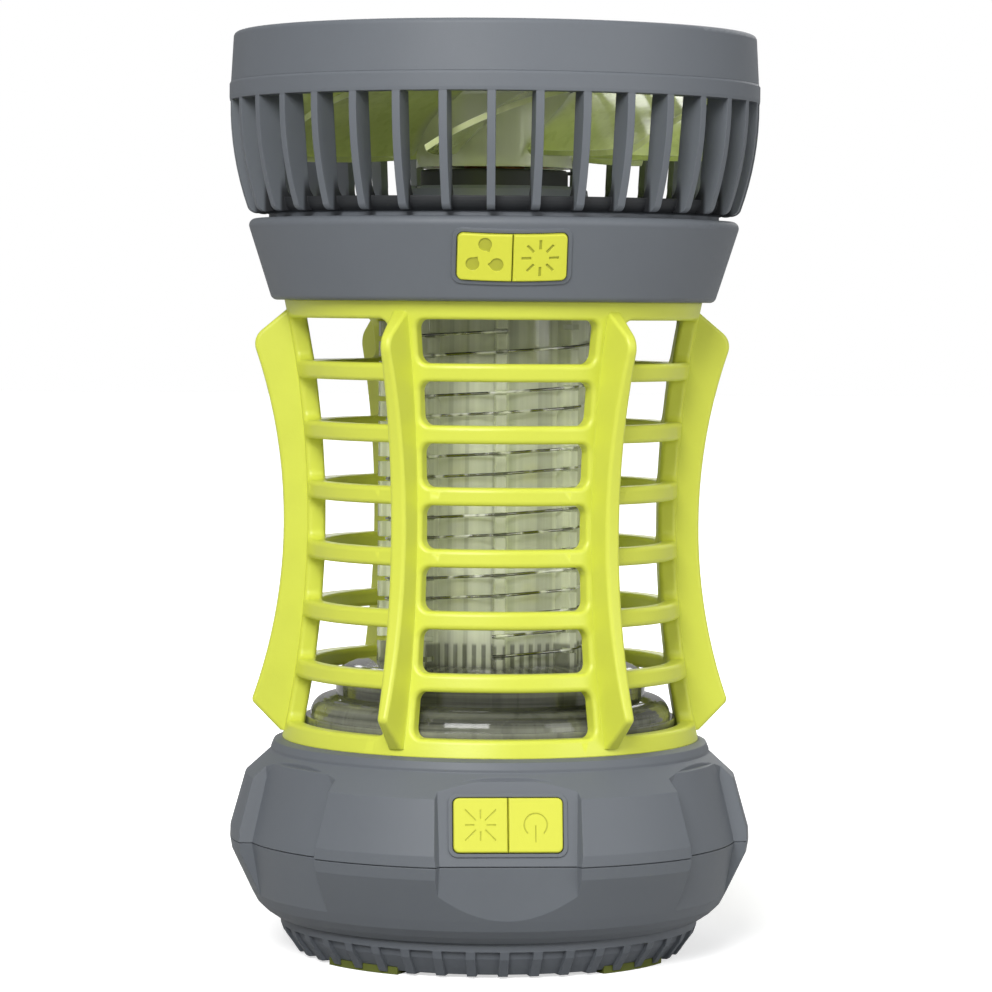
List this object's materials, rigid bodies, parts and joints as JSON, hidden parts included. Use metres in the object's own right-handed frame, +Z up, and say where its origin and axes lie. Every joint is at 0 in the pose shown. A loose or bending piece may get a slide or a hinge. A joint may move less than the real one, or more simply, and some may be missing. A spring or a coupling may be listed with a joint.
{
  "type": "electric bug zapper",
  "caption": "Camping bug zapper lantern with a finned cage round a wired lamp tube, a slatted fan head, a rounded base, push keys and a folding hook.",
  "frame": {"origin": "centre of the underside, on the surface that the rubber feet stand on", "axes": "+Z up along the lamp tube and fan axis, -Y out of the front with the keys, +X to the right seen from the front"},
  "size_m": [0.133, 0.133, 0.2304],
  "materials": {
    "grey_plastic": "satin moulded",
    "lime_plastic": "semi-gloss moulded",
    "key_plastic": "satin moulded",
    "clear_plastic": "clear moulded polycarbonate",
    "tinted_plastic": "tinted clear plastic",
    "dark_plastic": "matt",
    "lime_rubber": "soft matt",
    "grey_rubber": "soft matt",
    "steel": "bright drawn",
    "zinc_screw": "zinc plated",
    "aluminium": "anodised",
    "board_green": "solder mask",
    "board_white": "white solder mask",
    "led_yellow": "phosphor",
    "led_violet": "dark lens",
    "cell_wrap": "shrink wrap",
    "copper": "enamelled winding",
    "component_black": "moulded",
    "lead_black": "sleeved leads"
  },
  "bodies": {
    "housing": {"base_upper_shell": "grey_plastic", "base_lower_shell": "grey_plastic", "bottom_cover": "grey_plastic", "rubber_feet": "lime_rubber", "cover_screws": "zinc_screw", "hook_pins": "steel", "battery_cells": "cell_wrap", "battery_holder": "dark_plastic", "power_board": "board_green", "transformer": "component_black", "capacitors": "component_black", "charge_board": "board_green", "usb_socket": "steel", "port_pin": "steel", "deck_screws": "zinc_screw", "lamp_screws": "zinc_screw", "lower_key_board": "board_green", "lower_key_switches": "component_black", "cage": "lime_plastic", "lamp_tube": "clear_plastic", "zapper_wire_a": "steel", "zapper_wire_b": "steel", "lamp_socket": "dark_plastic", "led_mast": "aluminium", "led_boards": "board_white", "white_leds": "led_yellow", "uv_leds": "led_violet", "mast_leads": "lead_black", "collar_shell": "grey_plastic", "collar_cover": "grey_plastic", "collar_screws": "zinc_screw", "upper_key_board": "board_green", "upper_key_switches": "component_black", "fan_basket": "grey_plastic", "fan_guard": "grey_plastic", "head_screws": "zinc_screw", "motor_pedestal": "grey_plastic", "motor_screws": "zinc_screw", "motor_base": "dark_plastic", "motor_bearings": "steel", "motor_coils": "copper"},
    "fan": {"fan_rotor": "tinted_plastic", "rotor_can": "steel", "fan_shaft": "steel"},
    "fan_button": {"fan_key": "key_plastic"},
    "light_button": {"light_key": "key_plastic"},
    "burst_button": {"burst_key": "key_plastic"},
    "power_button": {"power_key": "key_plastic"},
    "hook": {"hanging_hook": "lime_plastic"},
    "flap": {"port_flap": "grey_rubber"}
  },
  "joints": [
    {"name": "fan_spin", "type": "hinge", "parent": "housing", "child": "fan", "pos_m": [0, 0, 0.197], "axis": [0, 0, 1], "continuous": true},
    {"name": "fan_key_press", "type": "slide", "parent": "housing", "child": "fan_button", "axis": [0, 0.9524, 0.3049], "range_m": [0, 0.0006], "stiffness_N_per_m": 400, "springref_m": -0.001},
    {"name": "light_key_press", "type": "slide", "parent": "housing", "child": "light_button", "axis": [0, 0.9524, 0.3049], "range_m": [0, 0.0006], "stiffness_N_per_m": 400, "springref_m": -0.001},
    {"name": "burst_key_press", "type": "slide", "parent": "housing", "child": "burst_button", "axis": [0, 0.9758, -0.2185], "range_m": [0, 0.0006], "stiffness_N_per_m": 400, "springref_m": -0.001},
    {"name": "power_key_press", "type": "slide", "parent": "housing", "child": "power_button", "axis": [0, 0.9758, -0.2185], "range_m": [0, 0.0006], "stiffness_N_per_m": 400, "springref_m": -0.001},
    {"name": "hook_swing", "type": "hinge", "parent": "housing", "child": "hook", "pos_m": [0, 0, 0.0088], "axis": [1, 0, 0], "range_deg": [0, 90]},
    {"name": "flap_swing", "type": "hinge", "parent": "housing", "child": "flap", "pos_m": [0, 0.0603, 0.0248], "axis": [1, 0, 0], "range_deg": [0, 95]}
  ]
}
